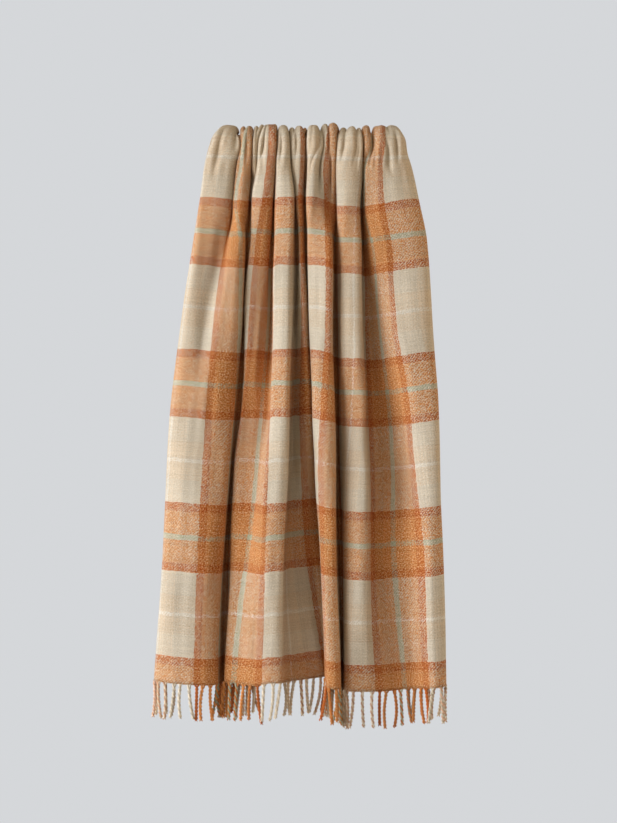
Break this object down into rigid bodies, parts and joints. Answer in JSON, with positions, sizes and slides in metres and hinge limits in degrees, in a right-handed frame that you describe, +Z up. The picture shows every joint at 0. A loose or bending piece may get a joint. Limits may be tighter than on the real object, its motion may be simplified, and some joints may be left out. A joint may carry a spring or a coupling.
{
  "type": "folded throw blanket",
  "caption": "Cream and orange checked wool throw with tasselled ends, gathered into pleats and hung over a round rung.",
  "frame": {"origin": "on the axis of the round rung the throw hangs on, at the middle of the gather", "axes": "+X across the throw along the rung, -Y towards the front drop, +Z up"},
  "size_m": [0.4688, 0.1649, 0.938],
  "materials": {
    "cloth": "soft matt brushed wool",
    "cream_yarn": "soft matt wool",
    "orange_yarn": "soft matt wool"
  },
  "bodies": {
    "gather": {"rung_fold": "cloth"},
    "front": {"front_drop": "cloth", "front_fringe_01": "cream_yarn", "front_fringe_02": "orange_yarn", "front_fringe_03": "cream_yarn", "front_fringe_04": "orange_yarn", "front_fringe_05": "cream_yarn", "front_fringe_06": "orange_yarn", "front_fringe_07": "cream_yarn", "front_fringe_08": "orange_yarn", "front_fringe_09": "cream_yarn", "front_fringe_10": "orange_yarn", "front_fringe_11": "cream_yarn"},
    "back": {"back_drop": "cloth", "back_fringe_01": "cream_yarn", "back_fringe_02": "orange_yarn", "back_fringe_03": "cream_yarn", "back_fringe_04": "orange_yarn", "back_fringe_05": "cream_yarn", "back_fringe_06": "orange_yarn", "back_fringe_07": "cream_yarn", "back_fringe_08": "orange_yarn", "back_fringe_09": "cream_yarn", "back_fringe_10": "orange_yarn", "back_fringe_11": "cream_yarn"}
  },
  "joints": [
    {"name": "front_swing", "type": "hinge", "parent": "gather", "child": "front", "pos_m": [0, -0.0285, -0.0002], "axis": [-1, 0, 0], "range_deg": [0, 80]},
    {"name": "back_swing", "type": "hinge", "parent": "gather", "child": "back", "pos_m": [0, 0.0285, -0.0002], "axis": [1, 0, 0], "range_deg": [0, 80]}
  ]
}
